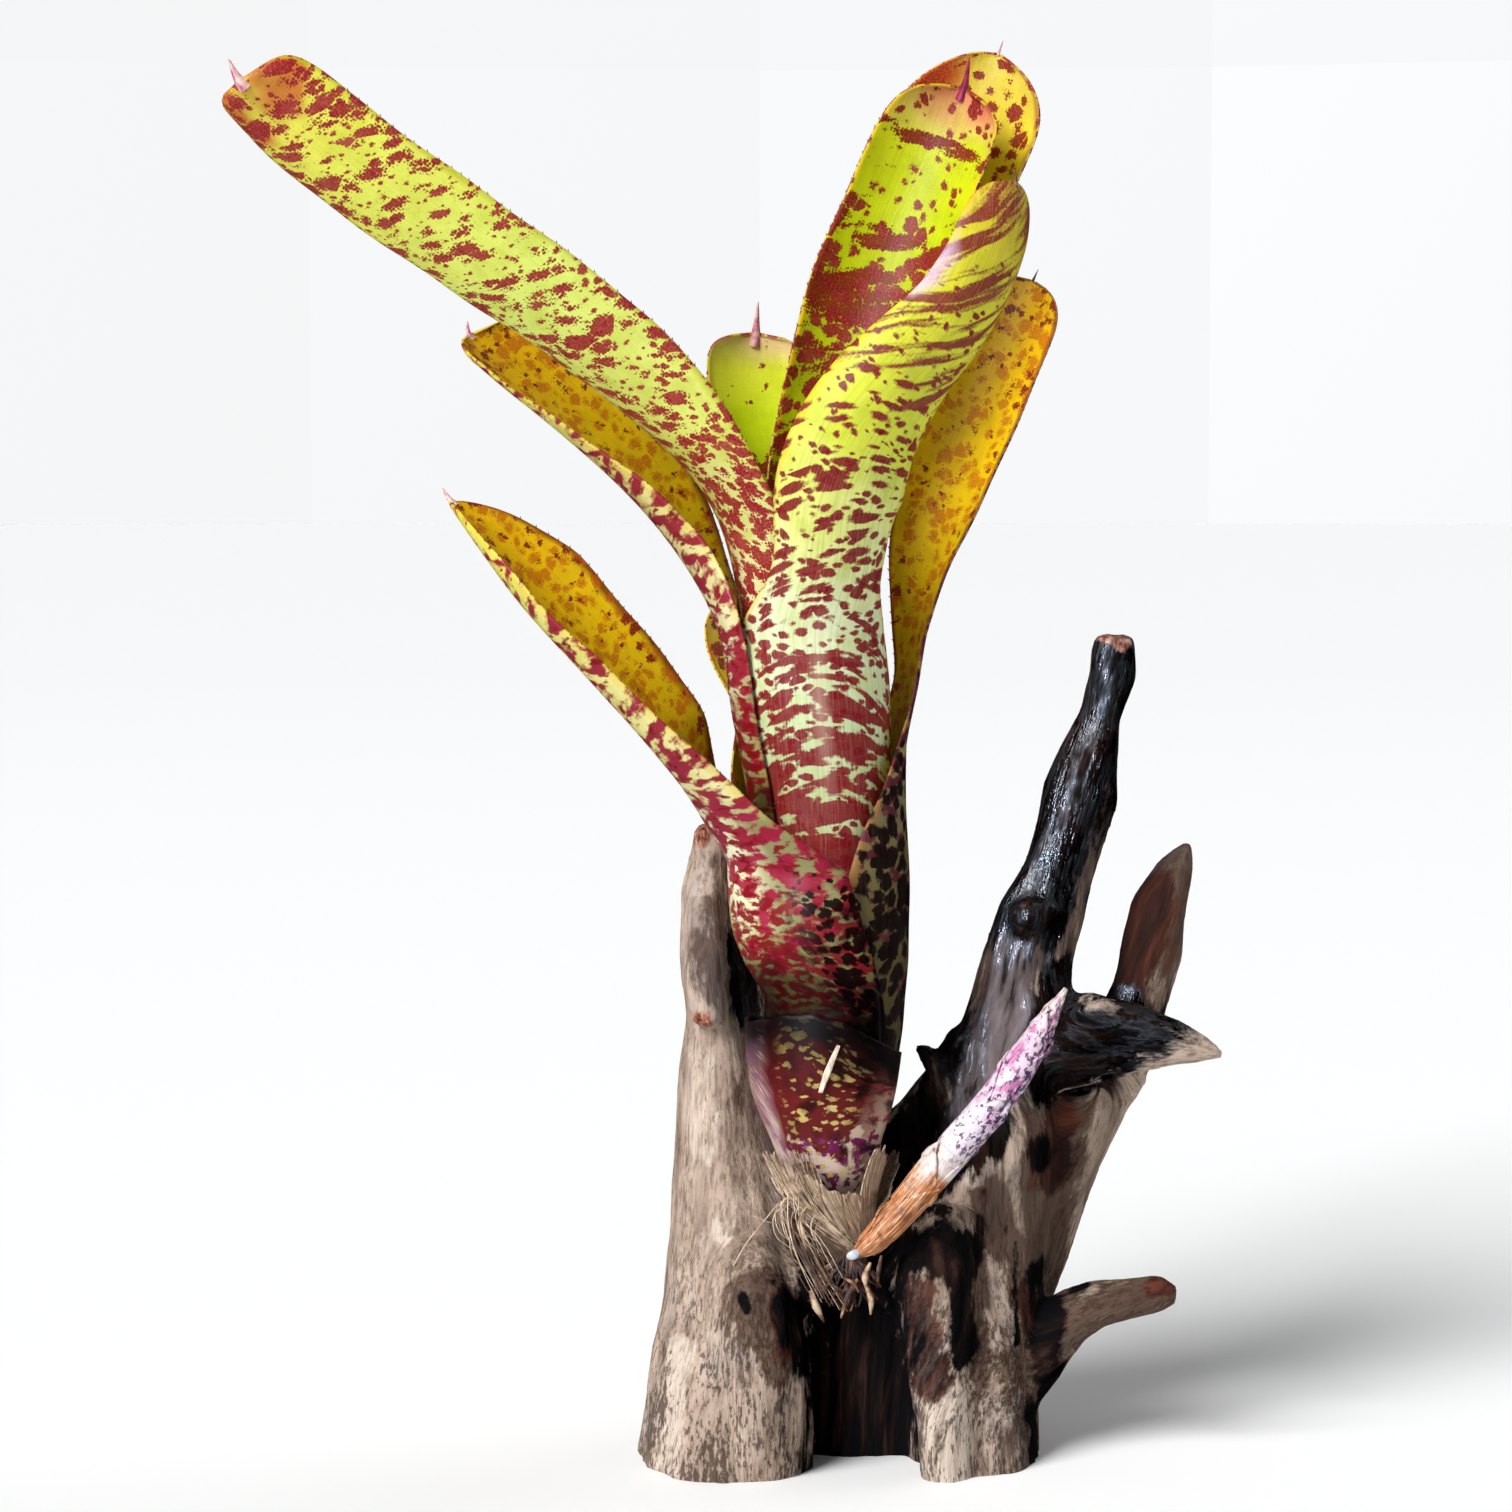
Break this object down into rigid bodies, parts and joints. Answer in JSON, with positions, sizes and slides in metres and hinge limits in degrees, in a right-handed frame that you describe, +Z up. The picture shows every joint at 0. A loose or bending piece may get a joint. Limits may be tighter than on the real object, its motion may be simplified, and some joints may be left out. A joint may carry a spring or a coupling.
{
  "type": "neoregelia bromeliad",
  "caption": "Spotted tubular bromeliad with strap leaves flaring from a slim upright tube, rooted in the fork of a piece of driftwood that stands on its own.",
  "frame": {"origin": "on the driftwood's flat underside, on solid wood behind its front hollow", "axes": "+Z up along the tube of leaves, +X to the right and +Y away from someone facing the side that shows the plant in front of the wood"},
  "size_m": [0.1666, 0.0692, 0.2438],
  "materials": {
    "leaf_lower_left": "satin",
    "leaf_left_back": "satin",
    "leaf_right": "satin",
    "leaf_left": "satin",
    "leaf_front": "satin",
    "leaf_upper_left": "satin",
    "leaf_small": "satin",
    "leaf_tall_back": "satin",
    "leaf_tall_front": "satin",
    "old_sheath": "satin",
    "dry_scales": "papery, matt",
    "stem": "matt",
    "stolon": "satin",
    "roots": "matt",
    "driftwood": "weathered, matt"
  },
  "bodies": {
    "root": {"leaf_lower_left": "leaf_lower_left", "leaf_left_back": "leaf_left_back", "leaf_right": "leaf_right", "leaf_left": "leaf_left", "leaf_front": "leaf_front", "leaf_upper_left": "leaf_upper_left", "leaf_small": "leaf_small", "leaf_tall_back": "leaf_tall_back", "leaf_tall_front": "leaf_tall_front", "old_sheath": "old_sheath", "dry_scales": "dry_scales", "stem": "stem", "stolon": "stolon", "roots": "roots", "driftwood": "driftwood"}
  },
  "joints": []
}
